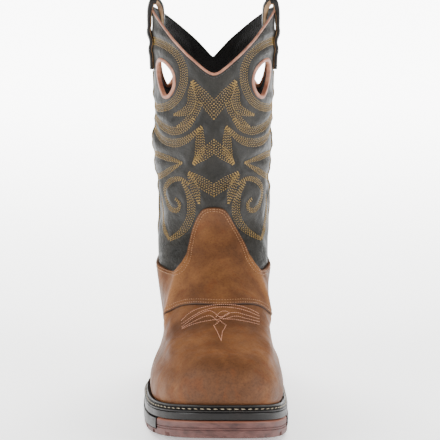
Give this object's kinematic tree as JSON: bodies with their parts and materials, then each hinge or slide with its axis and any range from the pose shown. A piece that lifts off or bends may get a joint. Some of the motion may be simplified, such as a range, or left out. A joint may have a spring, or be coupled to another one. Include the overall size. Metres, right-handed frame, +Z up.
{
  "type": "western work boot",
  "caption": "Right pull-on western work boot with a wide square toe, scalloped collar, pull straps and holes, instep saddle, welt and low heel.",
  "frame": {"origin": "on the floor, under the middle of the heel", "axes": "+Z up, the toe points along -Y, +X towards the inner side of the right foot"},
  "size_m": [0.114, 0.3011, 0.3218],
  "materials": {
    "shaft_leather": "charcoal, lightly grained, with ornamental stitching",
    "brown_leather": "oiled, mottled brown, low sheen",
    "binding_leather": "smooth, light tan",
    "strap_leather": "charcoal with raw edges",
    "footbed": "grey woven cover",
    "black_rubber": "satin black",
    "brown_rubber": "matt mauve brown"
  },
  "bodies": {
    "root": {"collar_binding": "binding_leather", "counter": "brown_leather", "heel_block": "black_rubber", "heel_lift": "brown_rubber", "insole": "footbed", "midsole": "black_rubber", "outsole": "brown_rubber", "pull_hole_binding_inner_back": "binding_leather", "pull_hole_binding_inner_front": "binding_leather", "pull_hole_binding_outer_back": "binding_leather", "pull_hole_binding_outer_front": "binding_leather", "pull_strap_inner": "strap_leather", "pull_strap_outer": "strap_leather", "saddle": "brown_leather", "side_guard_inner": "black_rubber", "side_guard_outer": "black_rubber", "side_piping_inner": "shaft_leather", "side_piping_outer": "shaft_leather", "upper": "shaft_leather", "vamp": "brown_leather", "welt": "black_rubber"}
  },
  "joints": []
}
